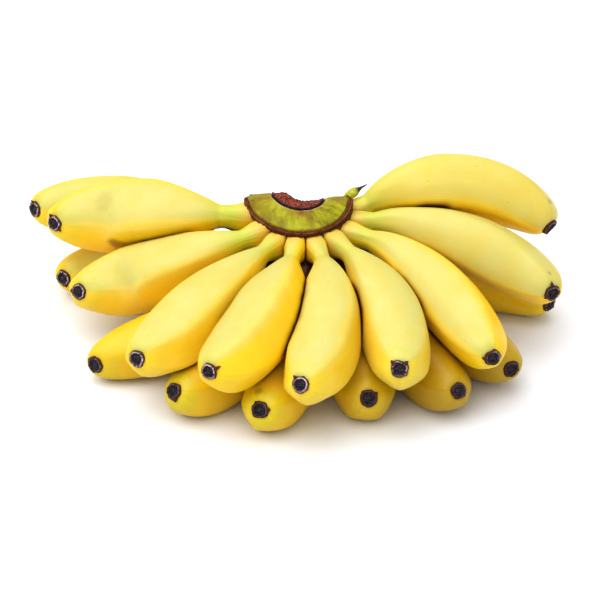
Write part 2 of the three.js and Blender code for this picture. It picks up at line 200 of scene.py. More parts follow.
lowerRow = [
    dict(root=(184, 14), leave=(182, 10), tip=(191.1, 143.9, 50.2), aim=(155, 11), look=(142, 11),
         girth=35, neck=0.1, face=30, green=0.6, litLemon=0, pale=0.9),
    dict(root=(156, 21), leave=(156, -28), tip=(187.4, 128, 14), aim=(140, 8), look=(124, 10),
         girth=35.5, neck=0.12, face=20, green=0.5, litLemon=-0.4, pale=0.8),
    dict(root=(133, 21), leave=(133, -38), tip=(148.7, 123.3, 12.5), aim=(150, 0), look=(122, 8),
         girth=33, neck=0.12, face=8, green=0.5, tipGreen=0.3, paintedShadeTone=0.85, pale=0.25),
    dict(root=(110, 21), leave=(112, -32), tip=(123, 116.7, 19), aim=(135, 32),
         girth=36, neck=0.12, face=15, green=0.5, tipGreen=0.5, paintedShadeTone=0.86, pale=0.2),
    dict(root=(88, 21), leave=(88, -32), tip=(100, 115.8, 19), aim=(110, 32),
         girth=36, neck=0.12, face=18, green=0.5, tipGreen=0.45, paintedShadeTone=0.93, pale=0.15,
         marks=[(0.964, -22, 2.6, 0.45)]),
    dict(root=(64, 21), leave=(58, -32), tip=(71.5, 108, 18), aim=(85, 35),
         girth=37, neck=0.12, face=-26, green=0.5, paintedShadeTone=0.7, pale=0.1),
    dict(root=(42, 21), leave=(38, -32), tip=(50.8, 125.7, 19), aim=(62, 28),
         girth=35, neck=0.12, face=-25, green=0.5, paintedShadeTone=0.5, pale=0.1),
    dict(root=(20, 21), leave=(18, -32), tip=(34.5, 130.4, 16.5), aim=(48, 2), look=(68, 5),
         girth=35.5, neck=0.12, face=-35, green=0.5, paintedShadeTone=0.55, pale=0.1),
    dict(root=(-4, 24), leave=(-20, -50), tip=(2.4, 131.7, 12), aim=(45, 0),
         girth=30, neck=0.2, face=-45, green=0.5, pale=0.5),
]


def heading(turn, climb=0.0):
    turn, climb = math.radians(turn), math.radians(climb)
    return np.array([math.cos(climb) * math.cos(turn), -math.cos(climb) * math.sin(turn), math.sin(climb)])


def scarHeight(turn):
    return hand["ringHeight"] + hand["ringRise"] * (1 - np.sin(np.radians(turn)))


def swollen(turn):
    return hand["swelling"] * smoothStep(turn, *hand["swollenTurns"])


# Grows, Fades and Ends name two shares of a finger's length between which a thing grows or fades.
peel = {
    "bellyRings": 64, "endRings": 44, "sides": 80,
    "lineSteps": 40,                     # steps along a middle line where another finger is felt for
    "fineSteps": 400,                    # steps by which its length is measured
    "handles": (0.36, 0.38),             # reach of a middle line's two handles, as shares of its chord
    "full": 0.62,                        # share of the length where the belly has its full girth
    "endFrom": 0.6,                      # share of the length from which the blossom end rounds off
    "bellyPower": 0.55, "endPower": 2.1,     # how fast the belly fills and how bluntly it ends
    "flareEnds": (0, 0.1), "squeezeEnds": (0.1, 0.35),
    "squareness": 1.2, "squareEnds": (0, 0.13),  # a stem is pressed nearly square
    "rootRuns": (6, 3),                  # two more rings run on into the crown by this much
    "facet": 0.58, "lowerFacet": 0.36,   # how far the section goes from round to a pentagon
    "stemFacet": 0.1, "facetGrows": (0.08, 0.32),    # of that, what a stem has
    "tipSoftness": 0.45, "facetFades": (0.93, 1),    # and what the tip loses
    "wideFace": 96,                      # degrees round the finger; the other four faces share the rest
    "ridgeSoftness": 5,                  # degrees to each side of a ridge that are rounded off
    "lookFrom": 0.4,                     # share of the length from which the sections turn to the end's look
    "near": 2.6,                         # radii from another finger's middle line where a finger may meet it
    "halvings": 11,                      # of the step by which a pressed point is drawn back
    "softRings": 3,                      # rings of points that bend round the edge of a pressed face
    "smoothed": 0.8,                     # share of its unevenness that a pressed face loses
    "swell": (0.22, 9, 0.5),             # slow swells of the skin: depth, width, and width over length
    "pucker": (0.16, 2.2, 0.1),          # fine folds where the skin gathers, likewise
    "stemPuckerFades": (0.06, 0.2), "tipPuckerGrows": (0.9, 0.99),
    "underScar": 1.2, "lidSlope": 14,    # what runs on into the crown stays this far under the bract scar
    "padFades": (0, 0.09), "greenGrows": (0.02, 0.1), "greenFades": (0.05, 0.26),
    "paintedStemShadeFades": (0.12, 0.62), "rubAndShadeGrows": (0.03, 0.13),
    "tipGreen": 0.2, "tipGreenGrows": (0.9, 0.985),
    "creaseWidth": 3, "creaseGrows": (0.7, 0.95),    # degrees to each side of a ridge
    "grainStretch": 0.12,                # width over length of the fibres, which run along the finger
    "paintedLight": (-0.2, -0.42, 0.88),          # where the painted light comes from: faces towards it are painted lemon, the rest golden
    "lit": (0.45, 0.72),                 # cosines to the painted light from which a face is a little and quite lemon
    "ridgeTint": (0.18, 0.5),            # the painted light tint changes between these distances from a face's middle
    "tintContrast": (0.2, 0.9),          # values of the tint that become none and all of it
    "bellyTint": 0.65,                   # share of the length from which a face keeps the tint it has there
    "markEdge": (0.4, 1.2),              # shares of a mark's radius between which it fades
    "ragged": (0.3, 2.5),                # unevenness of that edge, and its size
}


def fingerRadius(share, spec):
    stem = spec.get("stem", hand["stem"]) + hand["flare"] * (1 - smoothStep(share, *peel["flareEnds"]))
    filling = smoothStep(share, spec["neck"], spec.get("full", peel["full"])) ** peel["bellyPower"]
    belly = stem + (spec["girth"] / 2 - stem) * filling
    end = np.clip((share - peel["endFrom"]) / (1 - peel["endFrom"]), 0, 1)
    return hand["tip"] + (belly - hand["tip"]) * np.sqrt(1 - end ** peel["endPower"])


def evened(angle, spec):
    # angle round the finger with its wide face at 0, drawn in or out so that each face is 72 degrees wide
    away = (angle - math.radians(spec["face"]) + math.pi) % (2 * math.pi) - math.pi
    wide, even = math.radians(peel["wideFace"]) / 2, math.pi / 5
    narrow = even + (np.abs(away) - wide) * (math.pi - even) / (math.pi - wide)
    return np.where(np.abs(away) < wide, away * even / wide, np.sign(away) * narrow)


def fiveSided(angle, share, facet):
    # share of the radius at an angle from a ridge, on a pentagon with rounded corners
    half = math.pi / 5
    soft = math.radians(peel["ridgeSoftness"])
    away = np.abs((angle + half) % (2 * half) - half)
    away = np.sqrt(away ** 2 + soft ** 2) - soft
    pentagon = math.cos(half) / np.cos(half - away)
    grown = mix(peel["stemFacet"], 1, smoothStep(share, *peel["facetGrows"]))
    kept = 1 - peel["tipSoftness"] * smoothStep(share, *peel["facetFades"])
    return 1 - facet * grown * kept * (1 - pentagon)


def squarish(angle, share):
    power = 2 + peel["squareness"] * (1 - smoothStep(share, *peel["squareEnds"]))
    return (np.abs(np.cos(angle)) ** power + np.abs(np.sin(angle)) ** power) ** (-1 / power)


def middleLine(spec):
    # the four points of a cubic curve from the stem's root on the crown's flank to the blossom end
    turn, depth = spec["root"]
    start = axis + heading(turn) * (hand["ringRadius"] + hand["gap"])
    start[2] = scarHeight(turn) - depth
    turn, reach, height = spec["tip"]
    end = axis + heading(turn) * reach
    end[2] = height
    chord = np.linalg.norm(end - start)
    leave = start + heading(*spec["leave"]) * peel["handles"][0] * chord
    arrive = end - heading(*spec["aim"]) * peel["handles"][1] * chord
    return np.array([start, leave, arrive, end])


def alongLine(line, shares):
    # places and directions at shares of the curve's length, and that length
    def at(t):
        t = t[:, None]
        return ((1 - t) ** 3 * line[0] + 3 * t * (1 - t) ** 2 * line[1]
                + 3 * t ** 2 * (1 - t) * line[2] + t ** 3 * line[3])
    fine = np.linspace(0, 1, peel["fineSteps"] + 1)
    steps = np.linalg.norm(np.diff(at(fine), axis=0), axis=1)
    length = np.concatenate([[0], np.cumsum(steps)])
    t = np.interp(np.asarray(shares) * length[-1], length, fine)
    u = t[:, None]
    way = ((1 - u) ** 2 * (line[1] - line[0]) + 2 * u * (1 - u) * (line[2] - line[1])
           + u ** 2 * (line[3] - line[2]))
    return at(t), way / np.linalg.norm(way, axis=1)[:, None], length[-1]


def makeFinger(name, spec):
    line = middleLine(spec)
    # rings a little closer together at the root, and closest at the tip
    belly = peel["endFrom"] * np.linspace(0, 1, peel["bellyRings"]) ** 1.15
    quarter = np.linspace(0, math.pi / 2, peel["endRings"] + 1)[1:]
    end = peel["endFrom"] + (1 - peel["endFrom"]) * np.sin(quarter)
    shares = np.concatenate([belly, end])
    middles, along, length = alongLine(line, shares)
    runs = [middles[0] - run * along[0] for run in peel["rootRuns"]]
    shares = np.concatenate([[0, 0], shares])
    middles = np.vstack([*runs, middles])
    along = np.vstack([along[0], along[0], along])
    if "look" in spec:
        turned = np.clip((shares - peel["lookFrom"]) / (1 - peel["lookFrom"]), 0, 1) ** 2
        along = mix(along, heading(*spec["look"]), turned[:, None])
        along /= np.linalg.norm(along, axis=1)[:, None]
    side = np.cross([0, 0, 1], along)
    side /= np.linalg.norm(side, axis=1)[:, None]
    top = np.cross(along, side)
    angle = 2 * math.pi * np.arange(peel["sides"])[None, :] / peel["sides"]
    share = shares[:, None]
    even = evened(angle, spec)
    faceted = fiveSided(even - math.pi / 5, share, spec.get("facet", peel["facet"]))
    radius = fingerRadius(share, spec) * faceted * squarish(angle, share)
    squeeze = mix(hand["squeeze"], 1, smoothStep(share, *peel["squeezeEnds"]))
    rings = (middles[:, None] + top[:, None] * (radius * np.cos(angle) / squeeze)[..., None]
             + side[:, None] * (radius * np.sin(angle) * squeeze)[..., None])
    steps = np.linspace(0, 1, peel["lineSteps"] + 1)
    felt, _, _ = alongLine(line, steps)
    return dict(name=name, spec=spec, line=line, shares=shares, middles=middles, rings=rings, angle=angle,
                even=even, felt=felt, feltRadius=fingerRadius(steps, spec), top=top, side=side,
                length=length, tipFrame=(along[-1], side[-1], top[-1]))


def feel(points, finger):
    # distance from a finger's middle line as a share of its radius there, and that radius
    best = np.full(len(points), np.inf)
    bestRadius = np.ones(len(points))
    for i in range(peel["lineSteps"]):
        a, step = finger["felt"][i], finger["felt"][i + 1] - finger["felt"][i]
        t = np.clip((points - a) @ step / (step @ step), 0, 1)
        radius = mix(finger["feltRadius"][i], finger["feltRadius"][i + 1], t)
        away = np.linalg.norm(a + t[:, None] * step - points, axis=1) / radius
        closer = away < best
        best[closer] = away[closer]
        bestRadius[closer] = radius[closer]
    return best, bestRadius


def roomAt(points, own, other):
    # distance from the face that two fingers share, above 0 on the own finger's side
    mine, myRadius = feel(points, own)
    theirs, theirRadius = feel(points, other)
    return (theirs - mine) * myRadius * theirRadius / (myRadius + theirRadius)


def pressTogether(fingers):
    # a point inside a neighbour is drawn back to its own middle line until it is short of their shared face
    for own in fingers:
        sides = own["rings"].shape[1]
        own["pressed"] = np.zeros(own["rings"].shape[:2])
        for other in fingers:
            if other is own:
                continue
            near = np.flatnonzero(feel(own["middles"], other)[0] < peel["near"])
            if not len(near):
                continue
            corners = own["rings"][near].reshape(-1, 3)
            middles = np.repeat(own["middles"][near], sides, axis=0)
            inside = np.flatnonzero(roomAt(corners, own, other) < hand["gap"] / 2)
            if not len(inside):
                continue
            low, high = np.zeros(len(inside)), np.ones(len(inside))
            for _ in range(peel["halvings"]):
                half = (low + high) / 2
                tried = middles[inside] + (corners[inside] - middles[inside]) * half[:, None]
                clear = roomAt(tried, own, other) >= hand["gap"] / 2
                low, high = np.where(clear, half, low), np.where(clear, high, half)
            corners[inside] = middles[inside] + (corners[inside] - middles[inside]) * low[:, None]
            own["rings"][near] = corners.reshape(len(near), sides, 3)
            flat = own["pressed"][near].ravel()
            flat[inside] = 1
            own["pressed"][near] = flat.reshape(len(near), sides)


def beside(table):
    # sum of the four values beside each one, round the finger and along it
    return (np.roll(table, 1, axis=1) + np.roll(table, -1, axis=1)
            + np.roll(table, 1, axis=0) + np.roll(table, -1, axis=0))


def soften(finger):
    # skin bends round the edge of a pressed face, so its corner is soft; the rub mark there, partly painted
    # crease shade, fades out
    rings, weight, rubAndShade = finger["rings"], finger["pressed"].copy(), finger["pressed"].copy()
    for _ in range(peel["softRings"]):
        spread = weight.copy()
        for shift, dim in ((1, 0), (-1, 0), (1, 1), (-1, 1)):
            spread = np.maximum(spread, np.roll(weight, shift, axis=dim))
        weight = spread
    weight[:3], weight[-6:] = 0, 0       # the root and the blossom end keep their places
    for _ in range(peel["softRings"]):
        rubAndShade = (rubAndShade + beside(rubAndShade)) / 5
        rings += (beside(rings) / 4 - rings) * 0.5 * weight[..., None]
    finger["rubAndShade"] = rubAndShade


def paintedFacetLight(finger):
    # painted light: 1 on the faces that look up to the light and 0 on those that look away, with a narrow
    # change at each ridge; towards the blossom end a face stays as it is on the belly
    spec, rings = finger["spec"], finger["rings"]
    paintedLight = np.array(spec.get("paintedLight", peel["paintedLight"]))
    paintedLight = paintedLight / np.linalg.norm(paintedLight)
    wide = peel["wideFace"] / 2
    narrow = (180 - wide) / 4
    middles = [0, wide + narrow, wide + 3 * narrow, -wide - 3 * narrow, -wide - narrow]
    belly = np.minimum(np.arange(len(rings)), np.searchsorted(finger["shares"], peel["bellyTint"]))
    top, side = finger["top"][belly] @ paintedLight, finger["side"][belly] @ paintedLight
    lit = []
    for middle in middles:
        middle = math.radians(middle + spec["face"])
        lit.append(smoothStep(top * math.cos(middle) + side * math.sin(middle), *peel["lit"]))
    lit = np.array(lit)
    place = finger["even"] / (2 * math.pi / 5)
    here = np.rint(place).astype(int)
    after = here + np.where(place > here, 1, -1)
    share = smoothStep(np.abs(place - here), *peel["ridgeTint"]) * 0.5
    rows = np.arange(len(rings))[:, None]
    tint = smoothStep(mix(lit[here % 5, rows], lit[after % 5, rows], share), *peel["tintContrast"])
    return np.clip(tint + spec.get("litLemon", 0), 0, 1)


def bruises(finger, seed):
    # ragged brown marks, each round a place on the skin
    rings = finger["rings"]
    value = np.zeros(rings.shape[:2])
    for share, angle, radius, depth in finger["spec"].get("marks", []):
        row = np.searchsorted(finger["shares"], share)
        column = round(angle / 360 * peel["sides"]) % peel["sides"]
        uneven, size = peel["ragged"]
        far = np.linalg.norm(rings - rings[row, column], axis=2) / radius + uneven * ripple(rings, size, seed)
        value = np.maximum(value, depth * (1 - smoothStep(far, *peel["markEdge"])))
    return value


def finishFinger(finger, seed):
    spec, shares, rings = finger["spec"], finger["shares"][:, None], finger["rings"]
    whole = rings.shape[:2]
    # slow swells along the skin, and fine puckers where it gathers at the stem and at the blossom end
    outward = rings - finger["middles"][:, None]
    size = np.linalg.norm(outward, axis=2, keepdims=True)
    outward = outward / np.maximum(size, 0.01)
    angle = np.broadcast_to(finger["angle"], whole)
    grain = np.stack([np.cos(angle) * spec["girth"] / 2, np.sin(angle) * spec["girth"] / 2,
                      np.broadcast_to(shares * finger["length"], whole)], axis=2)
    depth, size, drawn = peel["swell"]
    swell = ripple(grain * [1, 1, drawn], size, seed) * depth
    depth, size, drawn = peel["pucker"]
    gathered = smoothStep(shares, *peel["tipPuckerGrows"]) + 1 - smoothStep(shares, *peel["stemPuckerFades"])
    pucker = ripple(grain * [1, 1, drawn], size, seed + 40) * (depth * gathered)
    keep = 1 - finger["pressed"] * peel["smoothed"]
    rings += outward * ((swell + pucker) * keep)[..., None]
    # what runs on into the crown stays under the bract scar, and nothing sinks into the floor
    fromAxis = rings - axis
    reach = np.hypot(fromAxis[..., 0], fromAxis[..., 1])
    turn = np.degrees(np.arctan2(-fromAxis[..., 1], fromAxis[..., 0]))
    turn = np.where(turn < -90, turn + 360, turn)
    beyond = np.clip(reach - hand["ringRadius"] - swollen(turn), 0, None)
    lid = scarHeight(turn) - peel["underScar"] + peel["lidSlope"] * beyond
    rings[..., 2] = np.clip(np.minimum(rings[..., 2], lid), 0, None)
    # green where it ripens last, but not on the pad at the root
    stemGreen = (1 - smoothStep(shares, *peel["greenFades"])) * smoothStep(shares, *peel["greenGrows"])
    tipGreen = spec.get("tipGreen", peel["tipGreen"]) * smoothStep(shares, *peel["tipGreenGrows"])
    # painted shade: a finger that lies under the others is darker, most of all its stem and the flanks beside
    # it
    paintedStemShade = spec.get("paintedStemShade", 0) * (1 - smoothStep(shares, *peel["paintedStemShadeFades"]))
    toRidge = np.abs(finger["even"] % (2 * math.pi / 5) - math.pi / 5)
    crease = hump(toRidge, 0, math.radians(peel["creaseWidth"]))
    attributes = dict(
        grain=grain + 31.0 * seed,       # no two fingers have the same pattern
        green=np.broadcast_to(spec["green"] * stemGreen + tipGreen, whole),
        pad=np.broadcast_to(1 - smoothStep(shares, *peel["padFades"]), whole),
        crease=crease * smoothStep(shares, *peel["creaseGrows"]),
        paintedShade=np.broadcast_to(1 - spec.get("paintedShadeTone", 1) + paintedStemShade, whole),
        rubAndShade=finger["rubAndShade"] * smoothStep(shares, *peel["rubAndShadeGrows"]),   # none on the pads, which grew together
        paintedLight=paintedFacetLight(finger),
        mark=bruises(finger, seed),
    )
    return makePiece(finger["name"], rings, ripePeel, [finger["name"]], attributes)


# Banana peel, ripe: waxy skin over long fibres. It gives a soft satin highlight on clear yellow, warmer in
# blotches, green where the stem and the blossom end ripen last, and has a few tiny brown specks.
ripePeel = newMaterial("ripe banana peel, waxy")
grainNode = addNode(ripePeel, "ShaderNodeAttribute", attribute_name="grain")
blotch = addNode(ripePeel, "ShaderNodeTexNoise",      # warmer blotches about 15 mm wide
                 {"Vector": grainNode.outputs["Vector"], "Scale": 1 / 15, "Detail": 3, "Roughness": 0.6})
# painted light: a lit lemon copy and a shaded golden copy of the yellow, mixed by how each face looks to the
# light
shadedGolden = addNode(ripePeel, "ShaderNodeValToRGB", {0: blotch.outputs[0]},
                 stops=[(0.3, "#eec30b"), (0.7, "#efcb13")])
litLemon = addNode(ripePeel, "ShaderNodeValToRGB", {0: blotch.outputs[0]},
                stops=[(0.3, "#c8bc5f"), (0.7, "#c7c276")])
paintedLightNode = addNode(ripePeel, "ShaderNodeAttribute", attribute_name="paintedLight")
skin = addNode(ripePeel, "ShaderNodeMix",
               {0: paintedLightNode.outputs["Fac"], 6: shadedGolden.outputs[0], 7: litLemon.outputs[0]}, data_type="RGBA")

drawnOut = addNode(ripePeel, "ShaderNodeMapping",
                   {0: grainNode.outputs["Vector"], "Scale": (1, 1, peel["grainStretch"])})
fibre = addNode(ripePeel, "ShaderNodeTexNoise",       # fibres 0.8 mm wide and about 7 mm long
                {"Vector": drawnOut.outputs[0], "Scale": 1 / 0.8, "Detail": 3, "Roughness": 0.55})
fibreTint = addNode(ripePeel, "ShaderNodeMapRange", {0: fibre.outputs[0], 1: 0.3, 2: 0.7, 3: 0.0, 4: 0.12})
padNode = addNode(ripePeel, "ShaderNodeAttribute", attribute_name="pad")
padFactor = addNode(ripePeel, "ShaderNodeMath", {0: padNode.outputs["Fac"], 1: 0.55}, operation="MULTIPLY")
greenPatch = addNode(ripePeel, "ShaderNodeTexNoise",  # the green goes in patches about 5 mm wide
                     {"Vector": grainNode.outputs["Vector"], "Scale": 1 / 5, "Detail": 2})
greenShare = addNode(ripePeel, "ShaderNodeMapRange",
                     {0: greenPatch.outputs[0], 1: 0.25, 2: 0.75, 3: 0.6, 4: 1.2})
greenNode = addNode(ripePeel, "ShaderNodeAttribute", attribute_name="green")
greenFactor = addNode(ripePeel, "ShaderNodeMath", {0: greenNode.outputs["Fac"], 1: greenShare.outputs[0]},
                      operation="MULTIPLY", use_clamp=True)
creaseNode = addNode(ripePeel, "ShaderNodeAttribute", attribute_name="crease")
creaseFactor = addNode(ripePeel, "ShaderNodeMath", {0: creaseNode.outputs["Fac"], 1: 0.1},
                       operation="MULTIPLY")
speckCells = addNode(ripePeel, "ShaderNodeTexVoronoi",    # a speck of about 0.5 mm in a few 5 mm cells
                     {"Vector": grainNode.outputs["Vector"], "Scale": 1 / 5})
speckNear = addNode(ripePeel, "ShaderNodeMapRange",
                    {0: speckCells.outputs["Distance"], 1: 0.04, 2: 0.09, 3: 1, 4: 0})
speckPick = addNode(ripePeel, "ShaderNodeSeparateColor", {0: speckCells.outputs["Color"]})
speckFew = addNode(ripePeel, "ShaderNodeMapRange", {0: speckPick.outputs[0], 1: 0.8, 2: 0.9, 3: 0, 4: 0.55})
speck = addNode(ripePeel, "ShaderNodeMath", {0: speckNear.outputs[0], 1: speckFew.outputs[0]},
                operation="MULTIPLY")
rubAndShadeNode = addNode(ripePeel, "ShaderNodeAttribute", attribute_name="rubAndShade")
rubAndShadeFactor = addNode(ripePeel, "ShaderNodeMath", {0: rubAndShadeNode.outputs["Fac"], 1: 1.1},
                    operation="MULTIPLY", use_clamp=True)
markNode = addNode(ripePeel, "ShaderNodeAttribute", attribute_name="mark")
paintedShadeNode = addNode(ripePeel, "ShaderNodeAttribute", attribute_name="paintedShade")

tints = [                                # over the yellow, the lowest first
    (fibreTint.outputs[0], "#d1a31d"),
    (padFactor.outputs[0], "#daad27"),   # the pad where the stem joins the crown
    (greenFactor.outputs[0], "#b8c22b"),
    (creaseFactor.outputs[0], "#96811b"),    # along the ridges near the blossom end
    (speck.outputs[0], "#7a4a1c"),
    (rubAndShadeFactor.outputs[0], "#6e2406"),   # where two fingers press on each other: rub marks, partly painted shade in the crease
    (markNode.outputs["Fac"], "#7c4714"),    # bruises
    (paintedShadeNode.outputs["Fac"], "#5c2c08"),   # painted shade on the lower row, most of all on its stems
]
for factor, tint in tints:
    skin = addNode(ripePeel, "ShaderNodeMix", {0: factor, 6: skin.outputs[2], 7: colour(tint)},
                   data_type="RGBA")
peelRough = addNode(ripePeel, "ShaderNodeMapRange", {0: blotch.outputs[0], 1: 0.3, 2: 0.7, 3: 0.4, 4: 0.5})
peelBump = addNode(ripePeel, "ShaderNodeBump",
                   {"Height": fibre.outputs[0], "Strength": 0.25, "Distance": 0.12 * mm})
peelShader = addNode(ripePeel, "ShaderNodeBsdfPrincipled", {
    "Base Color": skin.outputs[2], "Roughness": peelRough.outputs[0], "IOR": 1.45,
    "Specular IOR Level": 0.4, "Normal": peelBump.outputs[0],
    "Subsurface Weight": 0.08, "Subsurface Radius": (1, 0.35, 0.08), "Subsurface Scale": 1.5 * mm,
    "Coat Weight": 0.22, "Coat Roughness": 0.35})
addNode(ripePeel, "ShaderNodeOutputMaterial", {0: peelShader.outputs[0]})

# the lower row grew rounder; it has none of the lemon tint of the painted light, and painted shade on its
# stems
lowerLooks = dict(facet=peel["lowerFacet"], litLemon=-0.9, paintedStemShade=1)
fingers = [makeFinger(f"finger_upper_{i + 1}", spec) for i, spec in enumerate(upperRow)]
fingers += [makeFinger(f"finger_lower_{i + 1}", {**lowerLooks, **spec}) for i, spec in enumerate(lowerRow)]
pressTogether(fingers)
for seed, finger in enumerate(fingers):
    soften(finger)
    finishFinger(finger, seed)
print("fingers made:", len(fingers))


blossom = {
    "sides": 72,
    # radius and height over the finger's end, from the outer foot over the lip and into the pit
    "profile": [(4.15, -1.0), (4.4, -0.3), (4.45, 0.3), (4.35, 0.9), (4.05, 1.35), (3.65, 1.5), (3.25, 1.4),
                (2.9, 1.05), (2.6, 0.6), (2.2, 0.35), (1.7, 0.5), (1.2, 0.95), (0.7, 1.2), (0.3, 1.2)],
    "rings": 34,
    "outer": (1.0, 3.6),                 # radii between which the pit passes into the torn outer part
    "wider": 1.03, "corners": 0.4,       # the outline goes this far to a polygon of five to seven corners
    "wobble": 0.13, "wobbleSizes": (0.7, 0.25),      # unevenness of the outline as a share of its radius
    "tear": 0.5, "tearSize": 0.35,       # unevenness of the lip's height
    "fringe": 0.2, "fringeSize": 0.5,    # a finer one, with its pattern three times as close
    "crumble": 0.3, "crumbSizes": (0.9, 0.45),       # dry tissue is rough by about this much
    "pit": (2.8, 3.25), "lip": (3.6, 0.45),  # radii where the pit ends; the lip's radius and width
    "paintedLightFrom": (0.6, 0.8),                # where the painted light on the lip comes from, towards the side and the top
    "paleAndLit": (0.75, 0.4),             # paleness of the lip on average, and how much more is painted on as light there
    "patches": (-0.45, 0.05), "patchSize": 1.3,      # the lip is pale where a pattern is above these
    "red": (3.8, 4.3), "redness": 0.7,   # the foot is redder
    "pointFoot": (3.6, 0.8),             # radius and height where a dry point stands on the lip
    "pointRings": 9, "pointSides": 12,
    "pointRooted": 0.6, "pointBend": 0.5,    # its length inside the lip, and how far it bends up
    "pointRoot": 1.6, "pointTaper": 1.3, "pointTip": 0.1,    # half width at the root as a share of its width
    "pointThickness": 0.55, "pointUneven": 0.1,
    "pointPit": 0.3, "pointRed": 0.85,   # how dark and how red it is
}
# dry points left on the lip of some ends: clock angle from the top, length, width and rise from the lip
points = {
    "finger_upper_1": [(-35, 1.6, 0.9, 30), (120, 1.9, 0.8, -10)],
    "finger_upper_2": [(-100, 1.1, 1.0, 10)],
    "finger_upper_4": [(52, 3.5, 0.75, -14)],
    "finger_upper_5": [(-48, 1.7, 0.9, 5)],
    "finger_upper_6": [(-50, 2.0, 1.0, 5), (42, 1.9, 0.9, 10)],
    "finger_upper_7": [(-80, 1.9, 1.0, -5)],
    "finger_upper_8": [(-8, 3.2, 0.8, -5), (-105, 1.5, 1.0, 10)],
    "finger_upper_9": [(180, 2.0, 0.9, 10)],
    "finger_lower_1": [(-25, 1.6, 0.8, 40)],
    "finger_lower_2": [(150, 1.2, 1.0, 0)],
    "finger_lower_4": [(140, 1.7, 1.3, -12)],
    "finger_lower_5": [(78, 1.5, 1.1, 0), (-40, 0.9, 1.0, 0)],
    "finger_lower_6": [(60, 1.2, 0.9, 0)],
}


def makeBlossomEnd(finger, seed):
    aim, side, top = finger["tipFrame"]
    base = finger["line"][3]
    angle = 2 * math.pi * np.arange(blossom["sides"]) / blossom["sides"]
    place = np.linspace(0, len(blossom["profile"]) - 1, blossom["rings"])
    reach, rise = (np.interp(place, np.arange(len(blossom["profile"])), column)[:, None]
                   for column in zip(*blossom["profile"]))
    circle = np.stack([np.cos(angle), np.sin(angle), 0 * angle], axis=1)
    corner = math.pi / (5 + seed % 3)
    polygon = math.cos(corner) / np.cos((angle + seed) % (2 * corner) - corner)
    coarse, fine = blossom["wobbleSizes"]
    wobble = ripple(circle, coarse, seed) + 0.5 * ripple(circle, fine, seed + 5)
    outline = mix(1, polygon, blossom["corners"]) * blossom["wider"] + blossom["wobble"] * wobble
    outer = smoothStep(reach, *blossom["outer"])
    radius = reach * (1 + outer * (outline - 1))
    tear = (blossom["tear"] * ripple(circle, blossom["tearSize"], seed + 8)
            + blossom["fringe"] * ripple(circle * 3, blossom["fringeSize"], seed + 9))
    height = rise + outer * np.where(rise > 0, tear, 0)
    flat = np.stack([radius * np.cos(angle), radius * np.sin(angle), height * 2], axis=2)
    coarse, fine = blossom["crumbSizes"]
    crumble = ripple(flat, coarse, seed + 20) + 0.6 * ripple(flat, fine, seed + 60)
    height = height + blossom["crumble"] * crumble * (rise > -0.5)
    rings = (base + top * (radius * np.cos(angle))[..., None] + side * (radius * np.sin(angle))[..., None]
             + aim * height[..., None])
    pit = np.broadcast_to(1 - smoothStep(reach, *blossom["pit"]), radius.shape)
    # the lip is paler on average, and painted lighter towards the side and top as if lit
    towardsSide, towardsTop = blossom["paintedLightFrom"]
    average, more = blossom["paleAndLit"]
    paleAndLit = (np.sin(angle) * towardsSide + np.cos(angle) * towardsTop) * more + average
    patchy = smoothStep(ripple(flat, blossom["patchSize"], seed + 30), *blossom["patches"])
    lip = hump(reach, *blossom["lip"]) * paleAndLit * patchy * finger["spec"]["pale"]
    grain = np.stack([radius * np.cos(angle), radius * np.sin(angle), height], axis=2) + 13.0 * seed
    reddish = np.broadcast_to(blossom["redness"] * smoothStep(reach, *blossom["red"]), radius.shape)
    node = finger["name"].replace("finger", "blossom_end")
    makePiece(node.replace("blossom", "dry"), rings, dryBlossom, [node],
              dict(pit=pit, lip=lip, grain=grain, reddish=reddish))
    for k, (clock, long, wide, lift) in enumerate(points.get(finger["name"], [])):
        turn = math.radians(clock)
        out = top * math.cos(turn) + side * math.sin(turn)
        across = np.cross(aim, out)
        away = out * math.cos(math.radians(lift)) + aim * math.sin(math.radians(lift))
        foot = base + out * blossom["pointFoot"][0] + aim * blossom["pointFoot"][1]
        steps = np.linspace(0, 1, blossom["pointRings"])
        # it starts inside the lip, bends up a little and tapers to a tip
        bend = blossom["pointBend"] * steps * (1 - steps)
        middles = foot + away * (steps * (long + blossom["pointRooted"]))[:, None] + aim * bend[:, None]
        half = wide * (1 - steps ** blossom["pointTaper"]) * blossom["pointRoot"] + blossom["pointTip"]
        around = np.linspace(0, 2 * math.pi, blossom["pointSides"], endpoint=False)
        thin = half[:, None] * blossom["pointThickness"]
        blade = (middles[:, None] + across * (half[:, None] * np.cos(around))[..., None]
                 + np.cross(away, across) * (thin * np.sin(around))[..., None])
        blade += blossom["pointUneven"] * ripple(blade, 0.7, seed + k)[..., None] * aim
        plain = np.zeros(blade.shape[:2])
        makePiece(f"dry_point_{finger['name']}_{k + 1}", blade, dryBlossom, (),
                  dict(pit=plain + blossom["pointPit"], lip=plain, grain=blade,
                       reddish=plain + blossom["pointRed"]))


# Dry flower tissue, shrunk and corky: a pale pinkish lip round a purple-black pit, matt, with painted
# glints on the crumbs in the pit.
dryBlossom = newMaterial("dried blossom, corky")
grainNode = addNode(dryBlossom, "ShaderNodeAttribute", attribute_name="grain")
pitNode = addNode(dryBlossom, "ShaderNodeAttribute", attribute_name="pit")
lipNode = addNode(dryBlossom, "ShaderNodeAttribute", attribute_name="lip")
redNode = addNode(dryBlossom, "ShaderNodeAttribute", attribute_name="reddish")
crumbs = addNode(dryBlossom, "ShaderNodeTexNoise",    # crumbs 0.6 mm wide
                 {"Vector": grainNode.outputs["Vector"], "Scale": 1 / 0.6, "Detail": 3, "Roughness": 0.7})
